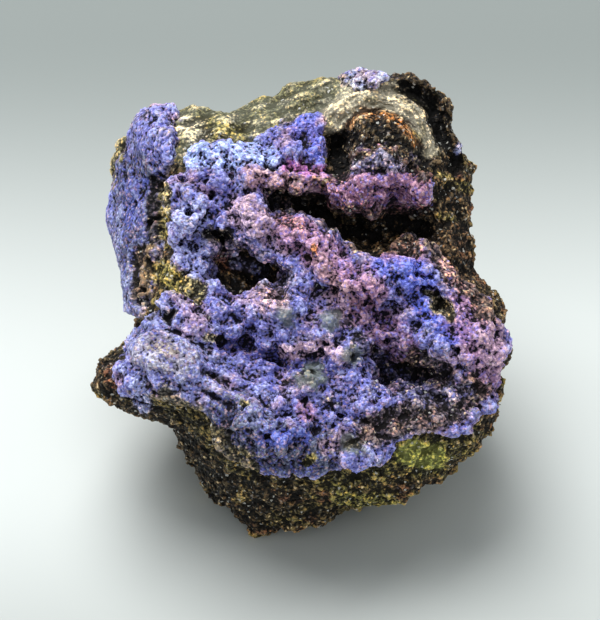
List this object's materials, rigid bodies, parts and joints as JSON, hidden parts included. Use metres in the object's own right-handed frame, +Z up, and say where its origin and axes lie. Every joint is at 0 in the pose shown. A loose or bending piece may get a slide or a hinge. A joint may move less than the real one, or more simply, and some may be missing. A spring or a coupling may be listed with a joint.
{
  "type": "strengite mineral specimen",
  "caption": "Broken lump of dark rock with chalky blue-violet and pink mineral crusts on its display side, resting on a small flat spot.",
  "frame": {"origin": "on the resting plane, inside the small flat spot under the lump", "axes": "+Z up; the display side faces -Y and upwards; +X to the right as the display side is seen"},
  "size_m": [0.0298, 0.0292, 0.0287],
  "materials": {
    "matrix_rock": "rough broken iron-phosphate rock, dark brown to olive, with small glints",
    "strengite": "chalky crust of minute blue-violet spherules",
    "pink_strengite": "chalky crust of minute dusky pink spherules"
  },
  "bodies": {
    "root": {"matrix": "matrix_rock", "strengite_front_crust": "strengite", "strengite_ledge_crust": "pink_strengite", "strengite_left_crust": "strengite", "strengite_top_patch": "strengite"}
  },
  "joints": []
}
